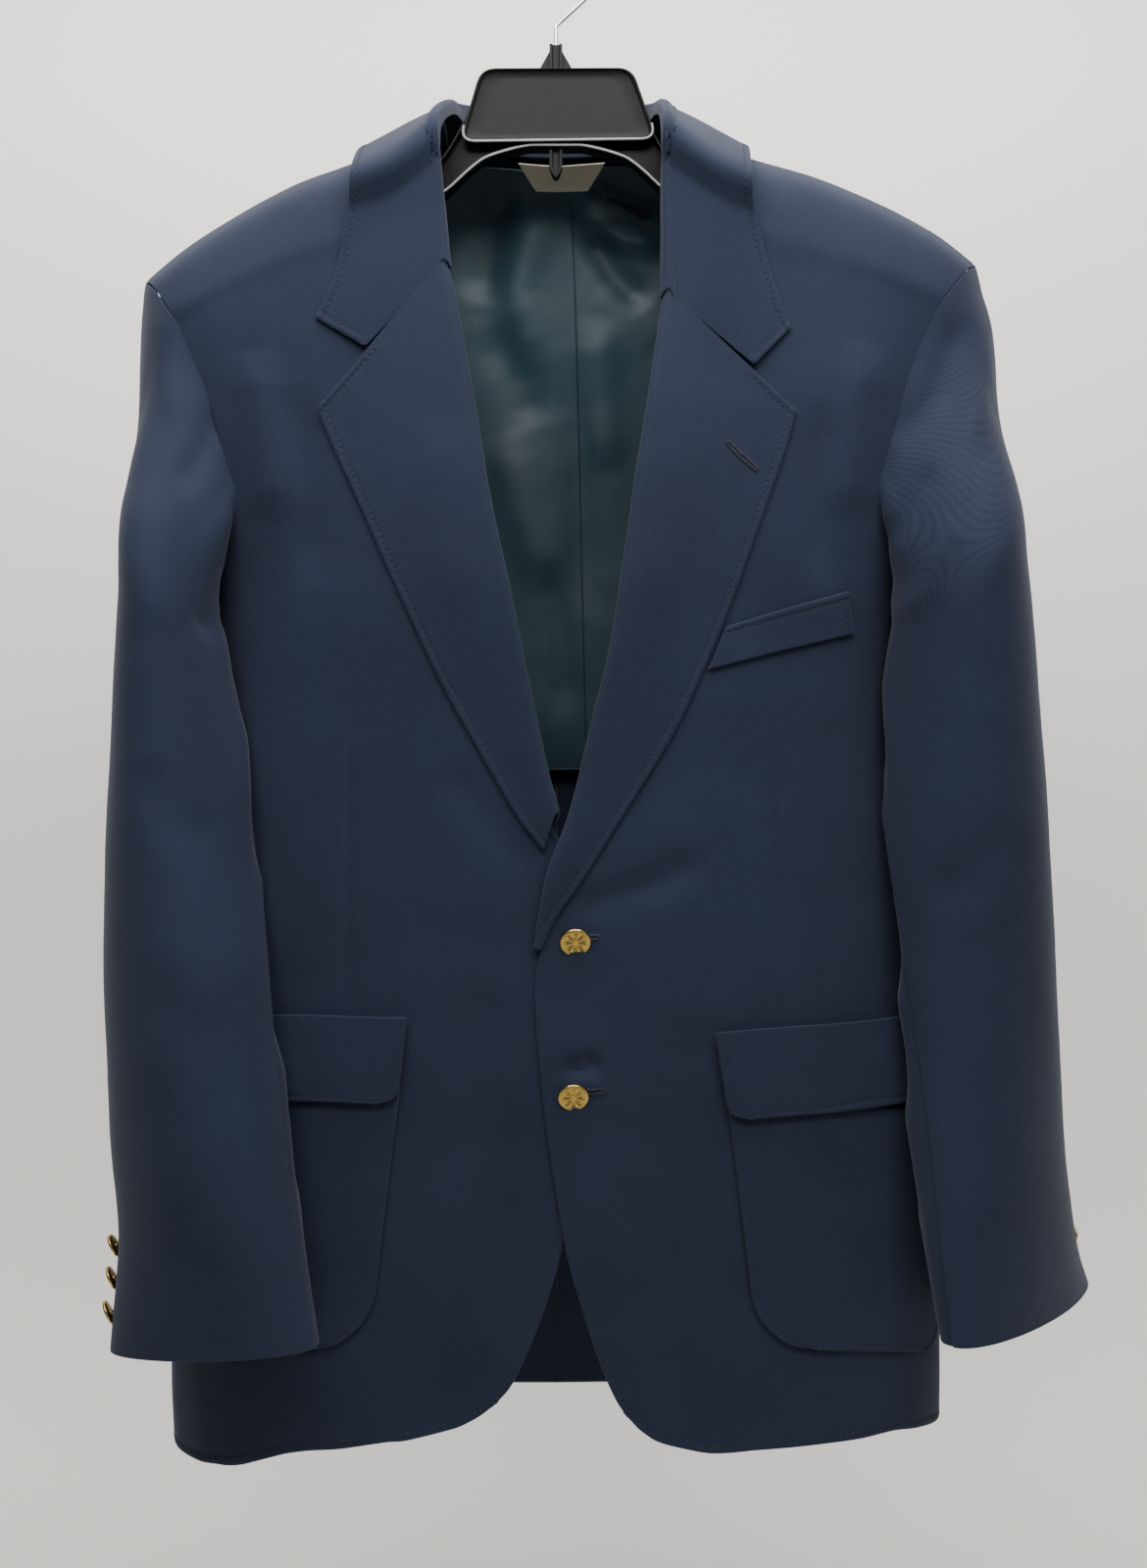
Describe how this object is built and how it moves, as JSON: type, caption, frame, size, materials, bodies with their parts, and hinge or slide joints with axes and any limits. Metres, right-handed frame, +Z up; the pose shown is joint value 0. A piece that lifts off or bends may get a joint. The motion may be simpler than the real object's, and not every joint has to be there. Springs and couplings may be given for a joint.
{
  "type": "blazer on a hanger",
  "caption": "Navy wool blazer with notch lapels, patch pockets with flaps, gold buttons and teal lining, open at the neck, hanging on a plastic hanger with a wire hook",
  "frame": {"origin": "underside of the hanger hook's crown, where a rail carries it", "axes": "+X to the wearer's left, +Y to the wearer's back, +Z up"},
  "size_m": [0.5892, 0.1926, 0.9209],
  "materials": {
    "wool": "navy wool twill with a slight nap",
    "lining": "teal satin",
    "brass": "polished gold-coloured metal",
    "label": "plain woven cream tape",
    "hanger": "black moulded plastic",
    "hook": "bright plated wire"
  },
  "bodies": {
    "root": {"front_left": "wool", "front_right": "wool", "back_left": "wool", "back_right": "wool", "sleeve_top_left": "wool", "sleeve_under_left": "wool", "sleeve_top_right": "wool", "sleeve_under_right": "wool", "collar": "wool", "lapel_left": "wool", "lapel_right": "wool", "pocket_left": "wool", "pocket_right": "wool", "flap_left": "wool", "flap_right": "wool", "breast_welt": "wool", "lining_left": "lining", "lining_right": "lining", "label": "label", "button_front_1": "brass", "button_front_2": "brass", "button_left_1": "brass", "button_left_2": "brass", "button_left_3": "brass", "button_right_1": "brass", "button_right_2": "brass", "button_right_3": "brass", "hanger_body": "hanger", "hanger_neck": "hanger", "hanger_hook": "hook"}
  },
  "joints": []
}
